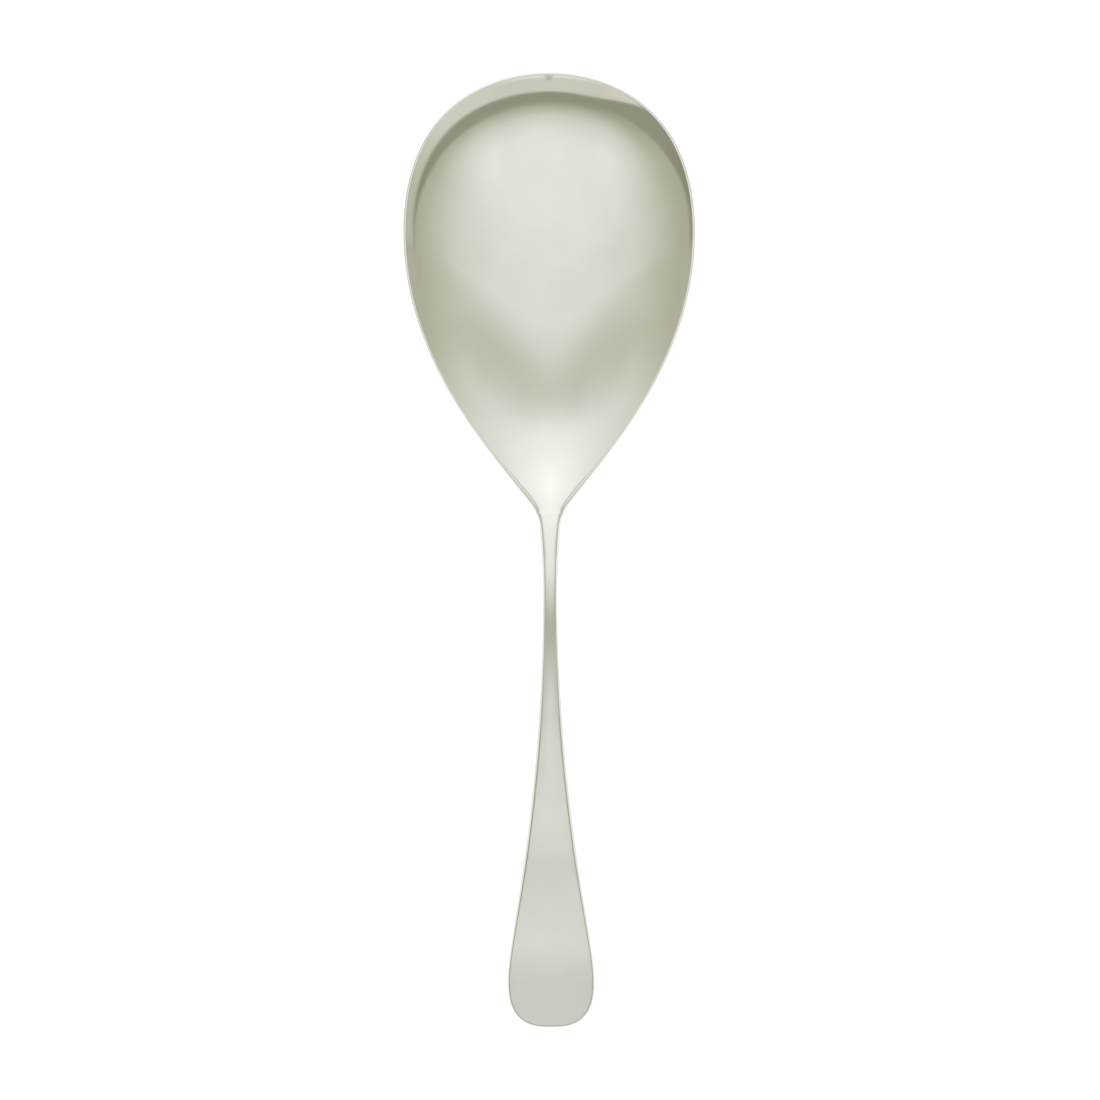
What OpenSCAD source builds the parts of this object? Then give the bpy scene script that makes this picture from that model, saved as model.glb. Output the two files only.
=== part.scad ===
// Serving spoon in polished stainless steel, lying on a table with its hollow side up.
// A pressed sheet bowl is butt welded to a forged handle at the shoulder.
// +Y runs from the handle's end to the bowl's tip, +Z is up, and z = 0 is the table.
// The origin is under the middle of the spoon. All lengths are in millimetres.

/* [Bowl] */
// Length of the bowl, from its tip to the shoulder
bowl_l = 115; // [95:1:140]
// Width of the bowl at its widest
bowl_w = 76.2; // [60:0.2:92]
// Distance from the tip to the widest place
widest_d = 41.6; // [34:0.2:50]
// Distance from the tip to the deepest place
deepest_d = 64; // [54:0.5:76]
// Height of the rim at the tip, at the middle of the sheet
tip_h = 18.8; // [16:0.1:23]
// Height of the rim at the widest place, at the middle of the sheet
side_h = 15.5; // [13:0.1:18]
// Thickness of the sheet
sheet_t = 1.6; // [1.2:0.1:2.2]
// Length of the throat, over which the sheet thickens towards the shoulder
throat_l = 26; // [18:1:34]
// Depth of the small flat under the bowl on which the spoon rests
rest_flat_t = 0.12; // [0.08:0.01:0.16]

/* [Shoulder] */
// Width of the metal where the bowl meets the handle
shoulder_w = 7.4; // [6:0.1:9]
// Thickness of the metal there
shoulder_t = 3; // [2.4:0.1:3.8]
// Height of the middle of the metal there
shoulder_h = 12.5; // [10:0.1:15]
// Climb of the spoon's middle line there, in degrees
shoulder_tilt = 21; // [14:1:28]
// Reach of the small fillet that runs from the shoulder into the neck
fillet_r = 1.5; // [1:0.1:2.5]

/* [Handle] */
// Length of the handle, from the shoulder to its end
handle_l = 135; // [110:1:160]
// Width of the neck at its slimmest
neck_w = 3.8; // [3:0.1:5]
// Distance from the shoulder to the slimmest place
neck_d = 20.6; // [16:0.2:25]
// Distance from the shoulder to the top of the arch
arch_d = 54; // [47:0.5:61]
// Height of the arch, at the middle of the metal
arch_h = 22; // [19:0.1:26]
// Thickness at the top of the arch, on the middle line
arch_t = 3.8; // [3.4:0.1:4.6]
// Thickness of the edges at the top of the arch
arch_edge_t = 3.3; // [2.7:0.1:3.7]
// Distance from the shoulder to the steepest place behind the arch
fall_d = 90; // [80:0.5:99]
// Steepest fall of the handle behind the arch, in degrees
fall_tilt = 25.6; // [22:0.1:29]
// Width of the handle's broad end
end_w = 22.6; // [18:0.2:27]
// Distance from the handle's end to its widest place
end_round_d = 12.5; // [10:0.1:15]
// Distance from the handle's end to the place where it touches the table
touch_d = 7; // [5.8:0.1:8.4]
// Thickness of the broad end, on the middle line
end_t = 2.4; // [2:0.1:3]
// Thickness of the broad end's edges
end_edge_t = 1.7; // [1.4:0.1:2.1]
// Lift of the handle's very end off the table
flick_h = 0.3; // [0.2:0.05:0.5]

/* [Hidden] */

// Where the shoulder lies along the spoon, whose middle is at the origin
seam_y = (handle_l - bowl_l) / 2;

// Roundness of the bowl's outline: the reach of its curves' handles
tip_round_share = 0.4;
side_round_share = 0.8;
flank_share = 0.55;
heel_share = 0.093;
heel_flare_share = 0.26;
// Rise of the rim for each millimetre towards the tip, at the widest place
rim_rise_share = 0.11;
// Shape of the bowl's middle line between its deepest place and the shoulder
floor_share = 0.6;
ramp_share = 0.2;
// How sharply the cross lines turn from square ones to a fan round the deepest place
fan_pow = 4;
// Roundness of the bowl's hollow at its tip, at its sides and at its heel
tip_pow = 4;
side_pow = 2.65;
heel_pow = 1.5;
// How soon the hollow turns from the one at its sides to the one at its heel
heel_turn_share = 0.75;
// Squareness of the handle's round end
end_round_pow = 2.8;
// Handles of the curve along the handle's sides, at the neck and at the broad end
neck_share = 0.55;
flare_share = 0.11;
// Taper of the neck, and the share of the shoulder's spare width that the fillet takes
taper_pow = 1.5;
fillet_share = 0.46;
// Roundness of the crown on the handle's faces
crown_pow = 1.5;
// The most of the half width that a rounded edge may take
edge_share = 0.45;
// How quickly the throat thickens
throat_pow = 2;
// How densely the cross lines are divided near the rim
rim_pow = 1.6;
// Length over which the cross lines turn square to the shoulder's plane
square_l = shoulder_w;

// Steps of the mesh
tip_steps = 26;
flank_steps = 26;
bowl_cross_steps = 14;
end_steps = 10;
side_steps = 20;
neck_steps = 12;
handle_cross_steps = 5;
edge_steps = 6;
// Halvings that find a point on the bowl's middle line
floor_halvings = 20;

function ease(v) = let(c = max(0, min(1, v))) c * c * (3 - 2 * c);
function mix(a, b, v) = a + (b - a) * v;
function unit(v) = v / norm(v);
function flip(p) = [-p.x, p.y, p.z];

// Point at v on the cubic curve with the four handles h
function bezier(h, v) = let(w = 1 - v)
    w ^ 3 * h[0] + 3 * w ^ 2 * v * h[1] + 3 * w * v ^ 2 * h[2] + v ^ 3 * h[3];

// Height at v on a curve of length l from height a and slope ma to height b and slope mb
function hermite(a, b, ma, mb, l, v) =
    (2 * v ^ 3 - 3 * v ^ 2 + 1) * a + (v ^ 3 - 2 * v ^ 2 + v) * l * ma
    + (3 * v ^ 2 - 2 * v ^ 3) * b + (v ^ 3 - v ^ 2) * l * mb;

// A leaf is a curved plate whose middle surface is a grid of points. It covers the right
// half of the plate, x >= 0. Row i is a cross line from the middle line out to the rim.
// Row 0 lies on the middle line and ends at the leaf's tip, and the last row lies in the
// shoulder's plane, y = 0.

// Upward normal of the middle surface at grid point i, j
function leaf_normal(grid, i, j) = let(
    rows = len(grid) - 1,
    cols = len(grid[0]) - 1,
    before = i > 0 ? grid[i - 1][j] : flip(grid[1][j]),
    after = i < rows ? grid[i + 1][j] : grid[i][j],
    inner = j > 0 ? grid[i][j - 1] : flip(grid[i][1]),
    outer = j < cols ? grid[i][j + 1] : grid[i][j],
    n = cross(after - before, outer - inner)
) i + j == 0 ? [0, 0, 1] : unit(n * sign(n.z));

// Outward direction of the rim at row i, in the middle surface
function leaf_outward(grid, i, n) = let(
    rows = len(grid) - 1,
    rim = len(grid[0]) - 1,
    before = i > 0 ? grid[i - 1][rim] : flip(grid[1][rim]),
    after = i < rows ? grid[i + 1][rim] : grid[i][rim]
) unit(cross(n, after - before));

// The direction v, turned into the shoulder's plane where the leaf nears it at distance y
function squared(v, y) = unit([v.x, v.y * ease(y / square_l), v.z]);

// Section of row i: the upper face outwards, round the edge, and the lower face inwards
function leaf_section(grid, thick, edge_r, i) = let(
    rim = len(grid[0]) - 1,
    normals = [for (j = [0 : rim]) squared(leaf_normal(grid, i, j), grid[i][j].y)],
    out = squared(leaf_outward(grid, i, normals[rim]), grid[i][rim].y),
    half_edge_t = thick[i][rim] / 2
) [
    for (j = [0 : rim]) grid[i][j] + normals[j] * thick[i][j] / 2,
    for (k = [1 : edge_steps - 1])
        let(a = 90 - 180 * k / edge_steps)
        grid[i][rim] + out * edge_r[i] * cos(a) + normals[rim] * half_edge_t * sin(a),
    for (j = [rim : -1 : 0]) on_table(grid[i][j] - normals[j] * thick[i][j] / 2)
];

// No point lies lower than the table
function on_table(p) = [p.x, p.y, max(0, p.z)];

// The whole leaf as one closed solid: the right half, the mirrored left half, and the
// flat face in the shoulder's plane
module leaf(grid, thick, edge_r) {
    rows = len(grid);
    half = [for (i = [0 : rows - 1]) leaf_section(grid, thick, edge_r, i)];
    ring = len(half[0]);
    right = [for (section = half) each section];
    left = [for (i = [1 : rows - 1]) for (a = [1 : ring - 2]) flip(half[i][a])];
    function right_id(i, a) = i * ring + a;
    function left_id(i, a) = i == 0 || a == 0 || a == ring - 1
        ? right_id(i, a)
        : len(right) + (i - 1) * (ring - 2) + a - 1;
    polyhedron(concat(right, left), concat(
        [for (i = [0 : rows - 2]) for (a = [0 : ring - 2]) each concat(
            quad(right_id(i, a), right_id(i, a + 1), right_id(i + 1, a + 1), right_id(i + 1, a),
                a < ring / 2),
            quad(left_id(i, a), left_id(i + 1, a), left_id(i + 1, a + 1), left_id(i, a + 1),
                a < ring / 2)
        )],
        leaf_cap([for (a = [0 : ring - 1]) right_id(rows - 1, a)]),
        leaf_cap([for (a = [ring - 1 : -1 : 0]) left_id(rows - 1, a)])
    ));
}

// Two triangles over the corners a, b, c, d, cut from a to c or else from b to d
function quad(a, b, c, d, cut_ac) = cut_ac ? [[a, b, c], [a, c, d]] : [[a, b, d], [b, c, d]];

// Faces across one half of the shoulder's plane, between the points ids of its section
function leaf_cap(ids) = let(last = len(ids) - 1) [
    for (a = [0 : last / 2 - 1]) each concat(
        [[ids[a], ids[a + 1], ids[last - a]]],
        a + 1 < last / 2 ? [[ids[a + 1], ids[last - a - 1], ids[last - a]]] : []
    )
];

// The bowl's rim and middle line, measured from the shoulder towards the tip
rim_x = (bowl_w - sheet_t) / 2;
rim_tip_y = bowl_l - sheet_t / 2;
rim_wide_y = bowl_l - widest_d;
floor_y = bowl_l - deepest_d;
floor_z = sheet_t / 2 - rest_flat_t;
seam_x = (shoulder_w - shoulder_t) / 2;
tip_reach = side_round_share * (rim_tip_y - rim_wide_y);
flank_reach = flank_share * rim_wide_y;
heel_reach = heel_share * rim_wide_y;
ramp_reach = ramp_share * floor_y;

rim_tip_curve = [
    [0, rim_tip_y, tip_h],
    [tip_round_share * rim_x, rim_tip_y, tip_h],
    [rim_x, rim_wide_y + tip_reach, side_h + rim_rise_share * tip_reach],
    [rim_x, rim_wide_y, side_h]
];
rim_flank_curve = [
    [rim_x, rim_wide_y, side_h],
    [rim_x, rim_wide_y - flank_reach, side_h - rim_rise_share * flank_reach],
    [seam_x + heel_flare_share * heel_reach, heel_reach,
        shoulder_h - tan(shoulder_tilt) * heel_reach],
    [seam_x, 0, shoulder_h]
];
floor_curve = [
    [0, floor_y, floor_z],
    [0, floor_y * (1 - floor_share), floor_z],
    [0, ramp_reach, shoulder_h - tan(shoulder_tilt) * ramp_reach],
    [0, 0, shoulder_h]
];
bowl_rows = tip_steps + flank_steps;

function bowl_rim(i) = i < tip_steps
    ? bezier(rim_tip_curve, i / tip_steps)
    : bezier(rim_flank_curve, (i - tip_steps) / flank_steps);

// Where the cross line that meets the rim at distance y starts on the middle line. The lines
// lie square across the heel, and towards the tip they fan out from the deepest place.
function fan_y(y) = y / (1 + (y / floor_y) ^ fan_pow) ^ (1 / fan_pow);

// How far the hollow has risen at the share s of the way from the middle line to the rim,
// on a cross line that meets the rim at distance y from the shoulder
function hollow(s, y) = let(
    tipward = max(0, (y - rim_wide_y) / (rim_tip_y - rim_wide_y)) ^ 2,
    heelward = ease((1 - y / rim_wide_y) / heel_turn_share)
) s ^ (side_pow + (tip_pow - side_pow) * tipward + (heel_pow - side_pow) * heelward);

// Height of the middle line at distance y from the shoulder, found by halving its curve
function floor_height(y, low = 0, high = 1, halvings = floor_halvings) = let(
    v = (low + high) / 2,
    p = bezier(floor_curve, v)
) halvings == 0 ? p.z
    : p.y > y ? floor_height(y, v, high, halvings - 1) : floor_height(y, low, v, halvings - 1);

// The hollow rises from the middle line's height at the same y, so that it has no crease there
function bowl_point(i, s) = let(
    rim = bowl_rim(i),
    y = mix(fan_y(rim.y), rim.y, s)
) [rim.x * s, y, mix(floor_height(y), rim.z, hollow(s, rim.y))];

function bowl_t(y) = sheet_t + (shoulder_t - sheet_t) * max(0, 1 - y / throat_l) ^ throat_pow;

module bowl() {
    grid = [for (i = [0 : bowl_rows]) [for (j = [0 : bowl_cross_steps])
        bowl_point(i, 1 - (1 - j / bowl_cross_steps) ^ rim_pow)]];
    thick = [for (row = grid) [for (p = row) bowl_t(p.y)]];
    edge_r = [for (row = thick) row[bowl_cross_steps] / 2];
    color("gainsboro") translate([0, seam_y, 0]) leaf(grid, thick, edge_r);
}

// The handle, measured from the shoulder towards its end
end_wide_y = handle_l - end_round_d;
touch_y = handle_l - touch_d;
handle_rows = end_steps + side_steps + neck_steps;

// Height of the middle of the metal at distance y from the shoulder
function handle_z(y) = let(
    fall = tan(fall_tilt),
    fall_z = arch_h - fall * (fall_d - arch_d) / 2
) y < arch_d
    ? hermite(shoulder_h, arch_h, tan(shoulder_tilt), 0, arch_d, y / arch_d)
    : y < fall_d
    ? arch_h - fall * (y - arch_d) ^ 2 / (fall_d - arch_d) / 2
    : y < touch_y
    ? hermite(fall_z, end_t / 2, -fall, 0, touch_y - fall_d, (y - fall_d) / (touch_y - fall_d))
    : end_t / 2 + flick_h * ((y - touch_y) / touch_d) ^ 2;

// Thickness on the middle line and at the edges
function handle_mid_t(y) = y < arch_d
    ? mix(shoulder_t, arch_t, ease(y / arch_d))
    : mix(arch_t, end_t, ease((y - arch_d) / (touch_y - arch_d)));
function handle_edge_t(y) = y < arch_d
    ? mix(shoulder_t, arch_edge_t, ease(y / arch_d))
    : mix(arch_edge_t, end_edge_t, ease((y - arch_d) / (touch_y - arch_d)));

// Half width of the neck: a slow taper and a quick fillet at the shoulder
function neck_x(y) = let(spare = (shoulder_w - neck_w) / 2)
    neck_w / 2 + spare * (1 - fillet_share) * (1 - y / neck_d) ^ taper_pow
    + spare * fillet_share * exp(-y / fillet_r);

// The outline at row i, as half width and distance from the shoulder
function handle_outline(i) = let(
    side_l = end_wide_y - neck_d,
    a = 90 * i / end_steps,
    side_v = (i - end_steps) / side_steps,
    neck_v = (i - end_steps - side_steps) / neck_steps,
    neck_y = neck_d * (1 - neck_v) ^ rim_pow
) i < end_steps
    ? [end_w / 2 * sin(a) ^ (2 / end_round_pow),
        end_wide_y + end_round_d * cos(a) ^ (2 / end_round_pow)]
    : i < end_steps + side_steps
    ? bezier([
        [end_w / 2, end_wide_y],
        [end_w / 2, end_wide_y - flare_share * side_l],
        [neck_w / 2, neck_d + neck_share * side_l],
        [neck_w / 2, neck_d]
    ], side_v)
    : [neck_x(neck_y), neck_y];

// The edges are full round at the shoulder and flatter from the neck on
function handle_edge_r(i) = let(
    p = handle_outline(i),
    most_share = mix(1, edge_share, ease(p.y / neck_d))
) min(handle_edge_t(p.y) / 2, most_share * max(p.x, neck_w / 2));

// The cross lines fan out round the end and lie square across the rest
function handle_point(i, s) = let(
    p = handle_outline(i),
    r = handle_edge_r(i),
    round_share = min(1, i / end_steps),
    inset = i < end_steps ? (p.y - end_wide_y) / end_round_d * r : 0,
    rim_px = p.x - r * min(1, p.x / (end_w / 2) + (i < end_steps ? 0 : 1)),
    from_y = i < end_steps ? mix(touch_y, end_wide_y, round_share ^ 2) : p.y,
    y = mix(from_y, p.y - inset, s)
) [rim_px * s, y, handle_z(y)];

function handle_t(y, s) = mix(handle_mid_t(y), handle_edge_t(y), s ^ crown_pow);

module handle() {
    shares = [for (j = [0 : handle_cross_steps]) j / handle_cross_steps];
    grid = [for (i = [0 : handle_rows]) [for (s = shares) handle_point(i, s)]];
    thick = [for (row = grid) [for (j = [0 : handle_cross_steps]) handle_t(row[j].y, shares[j])]];
    edge_r = [for (i = [0 : handle_rows]) handle_edge_r(i)];
    color("silver") translate([0, seam_y, 0]) rotate([0, 0, 180]) leaf(grid, thick, edge_r);
}

bowl();
handle();
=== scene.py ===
"""A polished steel serving spoon on a white table, seen from straight above.

Both pieces are rebuilt from the same curves as the part's solids, with a finer mesh, because
mirror polish shows every facet. Two small forms are in this script alone: the bowl's rim is
ground thinner from below, and its hollow is rounded along the middle line. All lengths are in
metres, in the frame of the part: +Y runs to the bowl's tip, +Z is up, and z = 0 is the table.
"""
import math

import bpy
import numpy as np
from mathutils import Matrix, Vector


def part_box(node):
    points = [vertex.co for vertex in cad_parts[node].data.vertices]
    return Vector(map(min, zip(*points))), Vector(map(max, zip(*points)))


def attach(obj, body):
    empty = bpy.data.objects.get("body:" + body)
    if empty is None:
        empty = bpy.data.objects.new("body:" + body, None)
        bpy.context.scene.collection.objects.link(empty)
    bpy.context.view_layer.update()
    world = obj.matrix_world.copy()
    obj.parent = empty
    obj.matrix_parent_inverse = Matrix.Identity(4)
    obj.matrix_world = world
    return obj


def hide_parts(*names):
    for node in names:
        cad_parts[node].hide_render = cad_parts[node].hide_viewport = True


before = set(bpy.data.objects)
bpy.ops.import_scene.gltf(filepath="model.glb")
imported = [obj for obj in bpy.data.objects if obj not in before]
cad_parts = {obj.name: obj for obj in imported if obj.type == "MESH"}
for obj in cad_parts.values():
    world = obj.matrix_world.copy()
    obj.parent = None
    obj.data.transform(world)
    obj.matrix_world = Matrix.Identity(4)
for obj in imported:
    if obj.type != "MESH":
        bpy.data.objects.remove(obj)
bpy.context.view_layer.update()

MM = 0.001
# Turns a point of the right half into its mirror image
FLIP = np.array([-1.0, 1.0, 1.0])

# Bowl
BOWL_W = 76.2 * MM
WIDEST_D = 41.6 * MM
DEEPEST_D = 64 * MM
TIP_H = 18.8 * MM
SIDE_H = 15.5 * MM
SHEET_T = 1.6 * MM
THROAT_L = 26 * MM
REST_FLAT_T = 0.12 * MM

# Shoulder
SHOULDER_W = 7.4 * MM
SHOULDER_T = 3 * MM
SHOULDER_H = 12.5 * MM
SHOULDER_SLOPE = math.tan(math.radians(21))
FILLET_R = 1.5 * MM

# Handle
NECK_W = 3.8 * MM
NECK_D = 20.6 * MM
ARCH_D = 54 * MM
ARCH_H = 22 * MM
ARCH_T = 3.8 * MM
ARCH_EDGE_T = 3.3 * MM
FALL_D = 90 * MM
FALL_SLOPE = math.tan(math.radians(25.6))
END_W = 22.6 * MM
END_ROUND_D = 12.5 * MM
TOUCH_D = 7 * MM
END_T = 2.4 * MM
END_EDGE_T = 1.7 * MM
FLICK_H = 0.3 * MM

# The bowl ends at the shoulder's plane, where the handle begins
SEAM_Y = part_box("bowl")[0].y
BOWL_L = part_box("bowl")[1].y - SEAM_Y
HANDLE_L = SEAM_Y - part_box("handle")[0].y

# Shape of the rim: how squarely it turns at the tip and sides, and how it runs into the heel
TIP_ROUND_SHARE = 0.4
SIDE_ROUND_SHARE = 0.8
FLANK_SHARE = 0.55
HEEL_SHARE = 0.093
HEEL_FLARE_SHARE = 0.26
RIM_RISE_SHARE = 0.11

# Shape of the hollow: its middle line, its steepness at the tip, sides and heel, and how far from
# the middle line it is rounded, as a share of the way to the rim
FLOOR_SHARE = 0.6
RAMP_SHARE = 0.2
FAN_POW = 4
TIP_POW = 4
SIDE_POW = 2.65
HEEL_POW = 1.5
HEEL_TURN_SHARE = 0.75
MIDDLE_SHARE = 0.2
FLOOR_LINE_POINTS = 4000

# Thickness: how fast the throat thins, the rim after it is ground from below, and how close to
# the rim the grinding keeps
THROAT_POW = 2
GROUND_T = 0.8 * MM
GROUND_POW = 3

# Shape of the handle: its round end, its widening, its neck and the roundness of its section
END_ROUND_POW = 2.8
FLARE_SHARE = 0.11
NECK_SHARE = 0.55
TAPER_POW = 1.5
FILLET_SHARE = 0.46
CROWN_POW = 2
EDGE_SHARE = 0.45

# How near the shoulder the edges turn into its plane, and how near it a point is in the plane
SQUARE_L = SHOULDER_W
SEAM_TOLERANCE = 1e-7

# Steps of the mesh, which crowd towards the rim and the shoulder by a power
CROWD_POW = 1.6
TIP_STEPS = 110
FLANK_STEPS = 110
BOWL_CROSS_STEPS = 56
END_STEPS = 40
SIDE_STEPS = 90
NECK_STEPS = 44
HANDLE_CROSS_STEPS = 16
EDGE_STEPS = 12
BOWL_STEPS = TIP_STEPS + FLANK_STEPS
HANDLE_STEPS = END_STEPS + SIDE_STEPS + NECK_STEPS


def clip(v):
    return min(1.0, max(0.0, v))


def ease(v):
    c = clip(v)
    return c * c * (3 - 2 * c)


def mix(a, b, v):
    return a + (b - a) * v


def unit(v):
    return v / np.linalg.norm(v)


def bezier(handles, v):
    """Point at v on the cubic curve with four handles."""
    a, b, c, d = (np.array(h, float) for h in handles)
    w = 1 - v
    return w**3 * a + 3 * w**2 * v * b + 3 * w * v**2 * c + v**3 * d


def hermite(a, b, ma, mb, length, v):
    """Height at v on a curve from height a and slope ma to height b and slope mb."""
    start = (2 * v**3 - 3 * v**2 + 1) * a + (v**3 - 2 * v**2 + v) * length * ma
    return start + (3 * v**2 - 2 * v**3) * b + (v**3 - v**2) * length * mb


# The bowl, measured from the shoulder towards the tip. Its grid has a row for each place along the
# rim, and each row is a cross line from the middle line to the rim.

RIM_X = (BOWL_W - SHEET_T) / 2
RIM_TIP_Y = BOWL_L - SHEET_T / 2
RIM_WIDE_Y = BOWL_L - WIDEST_D
FLOOR_Y = BOWL_L - DEEPEST_D
FLOOR_Z = SHEET_T / 2 - REST_FLAT_T
SEAM_X = (SHOULDER_W - SHOULDER_T) / 2
TIP_REACH = SIDE_ROUND_SHARE * (RIM_TIP_Y - RIM_WIDE_Y)
FLANK_REACH = FLANK_SHARE * RIM_WIDE_Y
HEEL_REACH = HEEL_SHARE * RIM_WIDE_Y
RAMP_REACH = RAMP_SHARE * FLOOR_Y

RIM_TIP_CURVE = [
    (0, RIM_TIP_Y, TIP_H),
    (TIP_ROUND_SHARE * RIM_X, RIM_TIP_Y, TIP_H),
    (RIM_X, RIM_WIDE_Y + TIP_REACH, SIDE_H + RIM_RISE_SHARE * TIP_REACH),
    (RIM_X, RIM_WIDE_Y, SIDE_H),
]
RIM_FLANK_CURVE = [
    (RIM_X, RIM_WIDE_Y, SIDE_H),
    (RIM_X, RIM_WIDE_Y - FLANK_REACH, SIDE_H - RIM_RISE_SHARE * FLANK_REACH),
    (SEAM_X + HEEL_FLARE_SHARE * HEEL_REACH, HEEL_REACH, SHOULDER_H - SHOULDER_SLOPE * HEEL_REACH),
    (SEAM_X, 0, SHOULDER_H),
]
FLOOR_CURVE = [
    (0, FLOOR_Y, FLOOR_Z),
    (0, FLOOR_Y * (1 - FLOOR_SHARE), FLOOR_Z),
    (0, RAMP_REACH, SHOULDER_H - SHOULDER_SLOPE * RAMP_REACH),
    (0, 0, SHOULDER_H),
]


def bowl_rim(row):
    """Point of the rim at a row, from the tip over the flank to the shoulder."""
    if row < TIP_STEPS:
        return bezier(RIM_TIP_CURVE, row / TIP_STEPS)
    return bezier(RIM_FLANK_CURVE, (row - TIP_STEPS) / FLANK_STEPS)


FLOOR_LINE = np.array([bezier(FLOOR_CURVE, v) for v in np.linspace(1, 0, FLOOR_LINE_POINTS)])


def floor_height(y):
    """Height of the middle line at distance y from the shoulder."""
    return np.interp(y, FLOOR_LINE[:, 1], FLOOR_LINE[:, 2])


def hollow(s, y):
    """Rise of the hollow at the share s of the way to the rim, which the line meets at y."""
    tipward = max(0.0, (y - RIM_WIDE_Y) / (RIM_TIP_Y - RIM_WIDE_Y)) ** 2
    heelward = ease((1 - y / RIM_WIDE_Y) / HEEL_TURN_SHARE)
    half_pow = (SIDE_POW + (TIP_POW - SIDE_POW) * tipward + (HEEL_POW - SIDE_POW) * heelward) / 2
    lowest = MIDDLE_SHARE ** (2 * half_pow)
    highest = (1 + MIDDLE_SHARE**2) ** half_pow
    return ((s * s + MIDDLE_SHARE**2) ** half_pow - lowest) / (highest - lowest)


def fan_y(y):
    """Where the cross line that meets the rim at distance y starts on the middle line."""
    return y / (1 + (y / FLOOR_Y) ** FAN_POW) ** (1 / FAN_POW)


def sheet_thickness(y):
    """Thickness at distance y, before the rim is ground."""
    return SHEET_T + (SHOULDER_T - SHEET_T) * max(0.0, 1 - y / THROAT_L) ** THROAT_POW


def rim_ground(y):
    """How much thinner half the sheet is at the rim, which is ground from below."""
    return (sheet_thickness(y) - GROUND_T) / 2 * ease(y / THROAT_L)


def ground_rim(row):
    """The rim moved out by what the grinding takes, so that the outer edge stays in place."""
    rim = bowl_rim(row)
    before = bowl_rim(row - 1) if row > 0 else bowl_rim(1) * FLIP
    along = bowl_rim(min(row + 1, BOWL_STEPS)) - before
    out = unit((-along[1], along[0], 0.0))
    return rim + out * rim_ground(rim[1])


def bowl_shares():
    """Places of a cross line's points, as shares of the way to the rim."""
    return [1 - (1 - j / BOWL_CROSS_STEPS) ** CROWD_POW for j in range(BOWL_CROSS_STEPS + 1)]


def bowl_grid():
    """Points of the bowl's middle surface, which the grinding lifts near the rim."""
    grid = []
    for row in range(BOWL_STEPS + 1):
        rim_x, rim_y, rim_z = ground_rim(row)
        line = []
        for s in bowl_shares():
            y = mix(fan_y(rim_y), rim_y, s)
            z = mix(floor_height(y), rim_z, hollow(s, rim_y)) + rim_ground(y) * s**GROUND_POW
            line.append((rim_x * s, y, z))
        grid.append(line)
    return np.array(grid)


def bowl_thickness(grid):
    return np.array([[sheet_thickness(y) - 2 * rim_ground(y) * s**GROUND_POW
                      for s, y in zip(bowl_shares(), line[:, 1])] for line in grid])


# The handle, measured from the shoulder towards its end

END_WIDE_Y = HANDLE_L - END_ROUND_D
TOUCH_Y = HANDLE_L - TOUCH_D


def handle_z(y):
    """Height of the middle of the metal at distance y from the shoulder."""
    fall_z = ARCH_H - FALL_SLOPE * (FALL_D - ARCH_D) / 2
    if y < ARCH_D:
        return hermite(SHOULDER_H, ARCH_H, SHOULDER_SLOPE, 0, ARCH_D, y / ARCH_D)
    if y < FALL_D:
        return ARCH_H - FALL_SLOPE * (y - ARCH_D) ** 2 / (FALL_D - ARCH_D) / 2
    if y < TOUCH_Y:
        run = TOUCH_Y - FALL_D
        return hermite(fall_z, END_T / 2, -FALL_SLOPE, 0, run, (y - FALL_D) / run)
    return END_T / 2 + FLICK_H * ((y - TOUCH_Y) / TOUCH_D) ** 2


def along_handle(y, arch, end):
    """A thickness at distance y, from the shoulder's, through the arch's, to the end's."""
    if y < ARCH_D:
        return mix(SHOULDER_T, arch, ease(y / ARCH_D))
    return mix(arch, end, ease((y - ARCH_D) / (TOUCH_Y - ARCH_D)))


def neck_x(y):
    """Half width of the neck: a slow taper and a quick fillet at the shoulder."""
    spare = (SHOULDER_W - NECK_W) / 2
    taper = spare * (1 - FILLET_SHARE) * (1 - y / NECK_D) ** TAPER_POW
    return NECK_W / 2 + taper + spare * FILLET_SHARE * math.exp(-y / FILLET_R)


def handle_outline(row):
    """The outline at a row, as half width and distance from the shoulder."""
    side_l = END_WIDE_Y - NECK_D
    if row < END_STEPS:
        a = math.radians(90 * row / END_STEPS)
        squareness = 2 / END_ROUND_POW
        reach = END_ROUND_D * math.cos(a) ** squareness
        return END_W / 2 * math.sin(a) ** squareness, END_WIDE_Y + reach
    if row < END_STEPS + SIDE_STEPS:
        side = [
            (END_W / 2, END_WIDE_Y),
            (END_W / 2, END_WIDE_Y - FLARE_SHARE * side_l),
            (NECK_W / 2, NECK_D + NECK_SHARE * side_l),
            (NECK_W / 2, NECK_D),
        ]
        return tuple(bezier(side, (row - END_STEPS) / SIDE_STEPS))
    left = 1 - (row - END_STEPS - SIDE_STEPS) / NECK_STEPS
    y = NECK_D * left**CROWD_POW
    return neck_x(y), y


def handle_edge_r(row):
    """How far the rounded edge reaches out from the middle surface at a row."""
    x, y = handle_outline(row)
    most_share = mix(1, EDGE_SHARE, ease(y / NECK_D))
    return min(along_handle(y, ARCH_EDGE_T, END_EDGE_T) / 2, most_share * max(x, NECK_W / 2))


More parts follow.
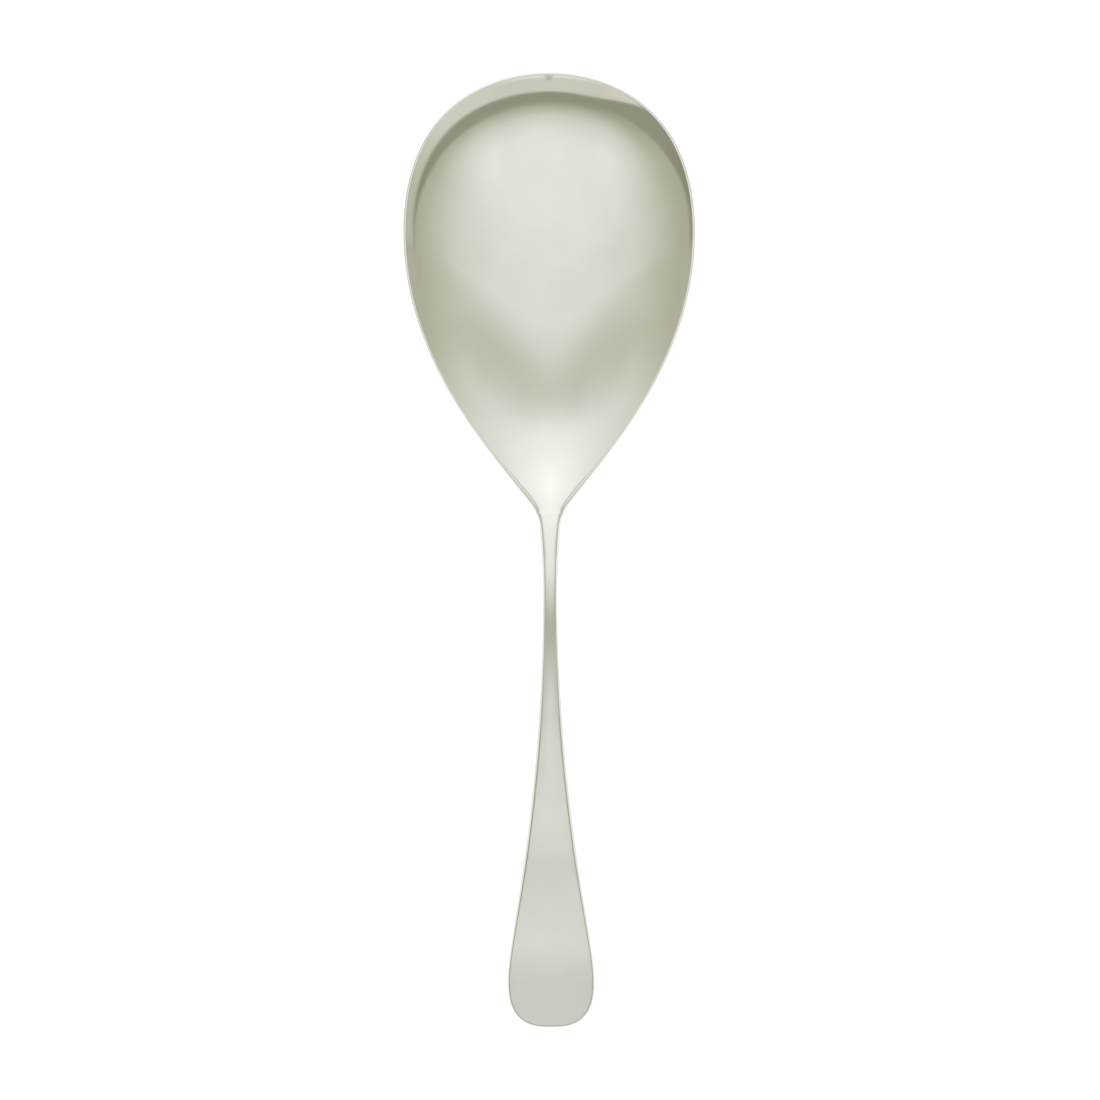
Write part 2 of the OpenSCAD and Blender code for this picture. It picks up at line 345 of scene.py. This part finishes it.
def handle_grid():
    """Points of the handle's middle surface, whose cross lines fan out at the round end."""
    grid = []
    for row in range(HANDLE_STEPS + 1):
        x, y = handle_outline(row)
        r = handle_edge_r(row)
        at_end = row < END_STEPS
        inset_y = (y - END_WIDE_Y) / END_ROUND_D * r if at_end else 0
        inset_x = r * (min(1, x / (END_W / 2)) if at_end else 1)
        from_y = mix(TOUCH_Y, END_WIDE_Y, (row / END_STEPS) ** 2) if at_end else y
        line = []
        for j in range(HANDLE_CROSS_STEPS + 1):
            s = j / HANDLE_CROSS_STEPS
            line_y = mix(from_y, y - inset_y, s)
            line.append(((x - inset_x) * s, line_y, handle_z(line_y)))
        grid.append(line)
    return np.array(grid)


def handle_thickness(grid):
    """Thickness at each point, from the middle's to the edge's over the crowned face."""
    thick = np.zeros(grid.shape[:2])
    for i, line in enumerate(grid):
        for j, (_, y, _) in enumerate(line):
            crown = (j / HANDLE_CROSS_STEPS) ** CROWN_POW
            middle = along_handle(y, ARCH_T, END_T)
            thick[i, j] = mix(middle, along_handle(y, ARCH_EDGE_T, END_EDGE_T), crown)
    return thick


# A leaf is a curved plate whose middle surface is a grid of points over its right half


def padded_rows(grid):
    """The grid with the mirrored second row before the first, and the last row repeated."""
    return np.concatenate([grid[1:2] * FLIP, grid, grid[-1:]])


def squared(direction, y):
    """The direction, turned into the shoulder's plane where the leaf nears it."""
    turned = direction * np.array([1, ease(y / SQUARE_L), 1])
    return unit(turned)


def leaf_sections(grid, thick, edge_r):
    """One row of points per cross line: upper face outwards, edge, lower face inwards."""
    rows = padded_rows(grid)
    sections = []
    for i, line in enumerate(grid):
        before, after = rows[i], rows[i + 2]
        cols = np.concatenate([line[1:2] * FLIP, line, line[-1:]])
        normals = []
        for j, point in enumerate(line):
            n = np.cross(after[j] - before[j], cols[j + 2] - cols[j])
            n = np.array([0, 0, 1.0]) if i + j == 0 else n * np.sign(n[2])
            normals.append(squared(n, point[1]))
        rim, n = line[-1], normals[-1]
        out = squared(np.cross(n, after[-1] - before[-1]), rim[1])
        half = thick[i] / 2
        top = [p + m * t for p, m, t in zip(line, normals, half)]
        under = [p - m * t for p, m, t in zip(line, normals, half)]
        edge = []
        for k in range(1, EDGE_STEPS):
            a = math.radians(90 - 180 * k / EDGE_STEPS)
            edge.append(rim + out * edge_r[i] * math.cos(a) + n * half[-1] * math.sin(a))
        # The table cuts off the underside, which leaves the flat that the bowl rests on
        inwards = [np.array([x, y, max(0.0, z)]) for x, y, z in under[::-1]]
        sections.append(top + edge + inwards)
    return np.array(sections)


def leaf_mesh(name, grid, thick, edge_r, place):
    """The whole plate as one closed mesh, mirrored from its right half. The rings of points start
    at the middle line above and end at the middle line below, and the last one is closed."""
    half = leaf_sections(grid, thick, edge_r)
    rows, ring = half.shape[:2]
    left = half[1:, 1:-1] * FLIP
    points = np.concatenate([half.reshape(-1, 3), left.reshape(-1, 3)])

    def right_id(i, a):
        return i * ring + a

    def left_id(i, a):
        if i == 0 or a in (0, ring - 1):
            return right_id(i, a)
        return rows * ring + (i - 1) * (ring - 2) + a - 1

    faces = []
    for i in range(rows - 1):
        for a in range(ring - 1):
            near, far = (i, a), (i, a + 1)
            near_next, far_next = (i + 1, a), (i + 1, a + 1)
            faces.append([right_id(*c) for c in (near, near_next, far_next, far)])
            faces.append([left_id(*c) for c in (near, far, far_next, near_next)])
    for a in range((ring - 1) // 2):
        # At the edge two of the four corners are the same point
        corners = dict.fromkeys([a, ring - 1 - a, ring - 2 - a, a + 1])
        faces.append([right_id(rows - 1, c) for c in corners])
        faces.append([left_id(rows - 1, c) for c in reversed(corners)])
    mesh = bpy.data.meshes.new(name)
    mesh.from_pydata([tuple(place(p)) for p in points], [], faces)
    mesh.validate()
    mesh.update()
    for polygon in mesh.polygons:
        polygon.use_smooth = True
    piece = bpy.data.objects.new(name, mesh)
    bpy.context.scene.collection.objects.link(piece)
    return piece


def sharpen_seam(piece):
    """The face in the shoulder's plane has its own shading, so that the polish runs across it."""
    mesh = piece.data
    for edge in mesh.edges:
        off_seam = [abs(mesh.vertices[v].co.y - SEAM_Y) for v in edge.vertices]
        edge.use_edge_sharp = max(off_seam) < SEAM_TOLERANCE


def make_bowl():
    grid = bowl_grid()
    thick = bowl_thickness(grid)
    return leaf_mesh("spoon_bowl", grid, thick, thick[:, -1] / 2,
                     lambda p: (p[0], SEAM_Y + p[1], p[2]))


def make_handle():
    grid = handle_grid()
    edge_r = [handle_edge_r(row) for row in range(len(grid))]
    return leaf_mesh("spoon_handle", grid, handle_thickness(grid), edge_r,
                     lambda p: (-p[0], SEAM_Y - p[1], p[2]))


# Polished steel: lengthwise polishing grain, faint mottling, and scuffs where the spoon rests

STEEL = (0.80, 0.80, 0.76)
STEEL_DULL = (0.78, 0.778, 0.736)
# Worn dull from the table up to the first height, and less up to the second
WEAR_H = (0.004, 0.009)
# The handle's painted shade: its colour is darkened to the tone, for dimmer light on it, fading in
# over this length from the shoulder
PAINTED_SHADE_RUN = 0.040
# The handle's end has painted shade, a little darker, between these two places along the spoon
END_PAINTED_SHADE = 0.88
END_PAINTED_SHADE_RUN = (-0.114, -0.101)
# Noise per metre, and its detail
MOTTLE_NOISE = (90.0, 3.0)
GRAIN_NOISE = (1.0, 2.0)
SCUFF_NOISE = (900.0, 4.0)
# The part of the noise that the mottling of the polish and of the colour spreads over
MOTTLE_SPAN = (0.3, 0.7)
DULL_SPAN = (0.35, 0.75)
# How much the mottling and the grain change the roughness
MOTTLE_SHARE = 0.15
GRAIN_SHARE = 0.5
# How high the scuffs reach, and the roughness that they add at most
SCUFF_H = 0.002
SCUFF_ROUGHNESS = 0.3
GRAIN_BUMP = 0.15
GRAIN_DEPTH = 0.000004


class Nodes:
    """Short calls for building one node tree."""

    def __init__(self, tree):
        self.tree = tree
        tree.nodes.clear()

    def add(self, kind, links=None, **settings):
        """A node of that kind, with settings, and with links into its sockets by name or number."""
        node = self.tree.nodes.new(kind)
        for key, value in settings.items():
            setattr(node, key, value)
        for key, value in (links or {}).items():
            socket = node.inputs[key]
            if isinstance(value, bpy.types.NodeSocket):
                self.tree.links.new(value, socket)
            else:
                socket.default_value = value
        return node

    def math(self, operation, a, b=0.0, c=0.0):
        return self.add("ShaderNodeMath", {0: a, 1: b, 2: c}, operation=operation).outputs[0]

    def vector(self, operation, a, b):
        return self.add("ShaderNodeVectorMath", {0: a, 1: b}, operation=operation).outputs[0]

    def scaled(self, vector, factor):
        node = self.add("ShaderNodeVectorMath", {0: vector, "Scale": factor}, operation="SCALE")
        return node.outputs[0]

    def spread(self, value, low, high, to_low, to_high):
        """The value's part between low and high, eased and spread from to_low to to_high."""
        links = {"Value": value, "From Min": low, "From Max": high,
                 "To Min": to_low, "To Max": to_high}
        return self.add("ShaderNodeMapRange", links, interpolation_type="SMOOTHSTEP").outputs[0]

    def blend(self, factor, a, b):
        return self.add("ShaderNodeMix", {"Factor": factor, "A": a, "B": b}).outputs["Result"]

    def blend_colour(self, factor, a, b):
        links = {"Factor": factor, "A": (*a, 1), "B": (*b, 1)}
        return self.add("ShaderNodeMix", links, data_type="RGBA").outputs["Result"]

    def noise(self, vector, scale, detail):
        links = {"Vector": vector, "Scale": scale, "Detail": detail}
        return self.add("ShaderNodeTexNoise", links).outputs["Fac"]


def steel_material(name, painted_shade_tone, grain, roughness, wear, seed):
    """Steel whose polishing grain is noise stretched by the three scales of grain, per metre.
    Its colour is darkened past the shoulder to the tone, and at the handle's end, by painted shade
    that stands in for dimmer light there. Near the table it is worn dull, by wear, and scuffed."""
    material = bpy.data.materials.new(name)
    material.use_nodes = True
    n = Nodes(material.node_tree)
    place = n.add("ShaderNodeTexCoord").outputs["Object"]
    shift = {"Vector": place, "Location": (seed, seed, seed)}
    shifted = n.add("ShaderNodeMapping", shift).outputs[0]
    mottle = n.noise(shifted, *MOTTLE_NOISE)
    lines = n.noise(n.vector("MULTIPLY", shifted, grain), *GRAIN_NOISE)
    _, along, height = n.add("ShaderNodeSeparateXYZ", {0: place}).outputs
    polish = n.spread(mottle, *MOTTLE_SPAN, roughness * (1 - MOTTLE_SHARE),
                      roughness * (1 + MOTTLE_SHARE))
    grained = n.math("MULTIPLY_ADD", lines, roughness * GRAIN_SHARE, -roughness * GRAIN_SHARE / 2)
    near_table = n.spread(height, 0.0, SCUFF_H, SCUFF_ROUGHNESS, 0.0)
    scuffs = n.math("MULTIPLY", near_table, n.noise(shifted, *SCUFF_NOISE))
    worn = n.math("ADD", n.spread(height, *WEAR_H, wear, 0.0), scuffs)
    total = n.math("ADD", n.math("ADD", polish, grained), worn)
    colour = n.blend_colour(n.spread(mottle, *DULL_SPAN, 0.0, 1.0), STEEL, STEEL_DULL)
    # Painted shade: the colour is darkened past the shoulder to the tone, and darker still at the
    # handle's end
    painted_shade_factor = n.math("MULTIPLY", n.spread(along, SEAM_Y - PAINTED_SHADE_RUN, SEAM_Y, painted_shade_tone, 1.0),
                        n.spread(along, *END_PAINTED_SHADE_RUN, END_PAINTED_SHADE, 1.0))
    colour_with_painted_shade = n.scaled(colour, painted_shade_factor)
    bump = n.add("ShaderNodeBump", {"Strength": GRAIN_BUMP, "Distance": GRAIN_DEPTH,
                                    "Height": lines})
    steel = n.add("ShaderNodeBsdfPrincipled", {"Base Color": colour_with_painted_shade, "Metallic": 1.0,
                                               "Roughness": total, "Normal": bump.outputs[0]})
    n.add("ShaderNodeOutputMaterial", {"Surface": steel.outputs[0]})
    return material


# The studio: a bright dome that darkens towards the horizon except on the tip's side

# Brightness of the dome by elevation in degrees, on each side of the spoon
DOME = {
    "handle_side": ((0, 0.33), (16, 0.35), (22, 0.61), (27, 0.78), (38, 0.95), (50, 0.98),
                    (90, 0.97)),
    "tip_side": ((0, 1.20), (24, 1.35), (50, 1.08), (70, 1.00), (90, 0.97)),
    "both_flanks": ((0, 0.54), (12, 0.52), (26, 0.67), (38, 0.80), (49, 0.89), (90, 0.97)),
}

# Low over the table on the handle's half runs a dark strip, which takes light from the flanks, and
# under it a pale one. Their edges change with the direction: where each change starts and ends, and
# the heights there. STRIP_HIGH_MORE is added to STRIP_HIGH, STRIP_ENDS is where the strips fade
# out, and STRIP_PALE gives the pale one's brightness.
STRIP_LOW = (-0.85, -0.25, 0.0, 0.166)
STRIP_HIGH = (-0.10, 1.00, 0.105, 0.25)
STRIP_HIGH_MORE = (-0.50, 0.20, 0.0, 0.065)
STRIP_ENDS = (-0.02, 0.08, 0.0, 1.0)
STRIP_SOFT = 0.012
STRIP_DEPTH = 0.42
STRIP_PALE = (0.20, 0.90, 0.60, 0.74)

# Over the spoon the studio has a dim gap between the lamps, which is deeper at both ends, dim
# sides, and a lamp at each corner over the handle. Each is a place along x on both sides and along
# y, its reach along x, its reaches towards the handle and towards the tip, and a depth, which is
# negative for a lamp. SPOT_POW keeps each nearly even along x, up to its reach.
SPOTS = (
    (0.00, 0.30, 0.86, 0.18, 0.125, 0.37),
    (0.56, 0.40, 0.20, 0.08, 0.05, 0.15),
    (0.72, 0.03, 0.22, 0.12, 0.12, 0.10),
    (0.66, -0.60, 0.26, 0.26, 0.26, -0.09),
)
SPOT_POW = 6
# Colour of the studio where its brightness is 1 and 0
BRIGHT = (1.0, 0.985, 0.975)
OLIVE = (1.0, 1.0, 0.63)
# Keeps the division straight overhead from running away
LEAST_RUN = 1e-5


def dome_ramp(n, elevation, levels):
    """Brightness by elevation, with each stop's degrees as a share of the quarter turn."""
    node = n.add("ShaderNodeValToRGB", {"Fac": elevation})
    stops = node.color_ramp.elements
    stops.remove(stops[1])
    for k, (degrees, level) in enumerate(levels):
        stop = stops[0] if k == 0 else stops.new(degrees / 90)
        stop.position = degrees / 90
        stop.color = (level, level, level, 1)
    return node.outputs["Color"]


def side_light(n, axis, sign, run, ramp):
    """The ramp's light from the side that looks along the sign of the axis."""
    facing = n.math("MAXIMUM", n.math("MULTIPLY", n.math("DIVIDE", axis, run), sign), 0.0)
    return n.math("MULTIPLY", n.math("MULTIPLY", facing, facing), ramp)


def spot_light(n, x, y, spot):
    """What a spot leaves of the light."""
    place_x, place_y, reach_x, reach_handle, reach_tip, depth = spot
    beyond_x = n.math("SUBTRACT", n.math("ABSOLUTE", x), place_x)
    beyond_y = n.math("SUBTRACT", y, place_y)
    off_x = n.math("POWER", n.math("ABSOLUTE", n.math("DIVIDE", beyond_x, reach_x)), SPOT_POW)
    off_y = n.math("MAXIMUM", n.math("DIVIDE", beyond_y, reach_tip),
                   n.math("DIVIDE", beyond_y, -reach_handle))
    away = n.math("ADD", off_x, n.math("MULTIPLY", off_y, off_y))
    shade = n.math("MULTIPLY", n.math("EXPONENT", n.math("MULTIPLY", away, -1.0)), depth)
    return n.math("SUBTRACT", 1.0, shade)


def make_world():
    world = bpy.data.worlds.new("studio")
    world.use_nodes = True
    bpy.context.scene.world = world
    n = Nodes(world.node_tree)
    direction = n.add("ShaderNodeTexCoord").outputs["Generated"]
    x, y, z = n.add("ShaderNodeSeparateXYZ", {0: direction}).outputs
    elevation = n.math("MULTIPLY", n.math("ARCSINE", z), 2 / math.pi)
    run = n.math("SQRT", n.math("ADD", n.math("MULTIPLY", x, x), n.math("MULTIPLY", y, y)))
    run = n.math("MAXIMUM", run, LEAST_RUN)
    towards_handle = n.math("MULTIPLY", y, -1.0)
    low = n.spread(x, *STRIP_LOW)
    high = n.math("ADD", n.spread(towards_handle, *STRIP_HIGH), n.spread(x, *STRIP_HIGH_MORE))
    ends = n.spread(towards_handle, *STRIP_ENDS)
    over_low = n.spread(n.math("SUBTRACT", z, low), -STRIP_SOFT, STRIP_SOFT, 0.0, 1.0)
    under_high = n.spread(n.math("SUBTRACT", high, z), -STRIP_SOFT, STRIP_SOFT, 0.0, STRIP_DEPTH)
    beside_strip = n.math("SUBTRACT", 1.0, n.math("MULTIPLY", under_high, ends))
    level = 0.0
    for side, axis, sign in (("handle_side", y, -1.0), ("tip_side", y, 1.0),
                             ("both_flanks", x, -1.0), ("both_flanks", x, 1.0)):
        bright = side_light(n, axis, sign, run, dome_ramp(n, elevation, DOME[side]))
        if side == "both_flanks":
            bright = n.math("MULTIPLY", bright, beside_strip)
        level = n.math("ADD", level, bright)
    pale = n.math("MULTIPLY", n.math("SUBTRACT", 1.0, over_low), ends)
    level = n.blend(pale, level, n.spread(towards_handle, *STRIP_PALE))
    for spot in SPOTS:
        level = n.math("MULTIPLY", level, spot_light(n, x, y, spot))
    tint = n.blend_colour(level, OLIVE, BRIGHT)
    background = n.add("ShaderNodeBackground", {"Color": tint, "Strength": level})
    n.add("ShaderNodeOutputWorld", {"Surface": background.outputs[0]})


# The floor, whose glow is seen by the camera and in reflections alone

FLOOR_SIZE = 16.0
FLOOR_WHITE = (0.42, 0.42, 0.42, 1)
FLOOR_GLOW = 0.74


def make_floor():
    """A white table. Where it is looked at, it glows, and the rest of its light is shaded."""
    half = FLOOR_SIZE / 2
    mesh = bpy.data.meshes.new("floor")
    corners = [(-half, -half, 0), (half, -half, 0), (half, half, 0), (-half, half, 0)]
    mesh.from_pydata(corners, [], [(0, 1, 2, 3)])
    floor = bpy.data.objects.new("floor", mesh)
    bpy.context.scene.collection.objects.link(floor)
    material = bpy.data.materials.new("floor_white")
    material.use_nodes = True
    n = Nodes(material.node_tree)
    rays = n.add("ShaderNodeLightPath").outputs
    seen = n.math("MAXIMUM", n.math("MAXIMUM", rays["Is Camera Ray"], rays["Is Glossy Ray"]),
                  rays["Is Transmission Ray"])
    glow = n.add("ShaderNodeEmission", {"Strength": n.math("MULTIPLY", seen, FLOOR_GLOW)})
    paper = n.add("ShaderNodeBsdfDiffuse", {"Color": FLOOR_WHITE})
    both = n.add("ShaderNodeAddShader", {0: paper.outputs[0], 1: glow.outputs[0]})
    n.add("ShaderNodeOutputMaterial", {"Surface": both.outputs[0]})
    mesh.materials.append(material)


# The camera looks straight down, a long way off, as the photograph's does. FIELD_W is the width
# in view, and CAMERA_TURN is the small turn of the spoon in the photograph.

CAMERA_H = 2.0
CAMERA_Y = 0.00047
CAMERA_TURN = math.radians(0.15)
FIELD_W = 0.2895
SENSOR_W = 36.0
CLIP_NEAR = 0.01
CLIP_FAR = 100


def make_camera():
    data = bpy.data.cameras.new("camera")
    data.sensor_width = SENSOR_W
    data.lens = SENSOR_W * CAMERA_H / FIELD_W
    data.clip_start = CLIP_NEAR
    data.clip_end = CLIP_FAR
    camera = bpy.data.objects.new("camera", data)
    camera.location = (0, CAMERA_Y, CAMERA_H)
    camera.rotation_euler = (0, 0, -CAMERA_TURN)
    bpy.context.scene.collection.objects.link(camera)
    bpy.context.scene.camera = camera


make_camera()
make_world()
make_floor()
bpy.context.scene.view_settings.view_transform = "Standard"

# What makes each piece, its node, slot and tone of painted shade, the scales of its grain, its
# roughness, its wear near the table, and the place of its noise
PIECES = (
    (make_bowl, "bowl", "bowl_steel", 1.0, (2600.0, 260.0, 2600.0), 0.07, 0.14, 3.0),
    # The handle's tone of 0.875 is painted shade
    (make_handle, "handle", "handle_steel", 0.875, (3800.0, 120.0, 3800.0), 0.08, 0.0, 7.0),
)
for make, node, slot, painted_shade_tone, grain, roughness, wear, seed in PIECES:
    piece = make()
    sharpen_seam(piece)
    material = steel_material(slot + "_polish", painted_shade_tone, grain, roughness, wear, seed)
    piece.data.materials.append(material)
    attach(piece, "root")
    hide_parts(node)
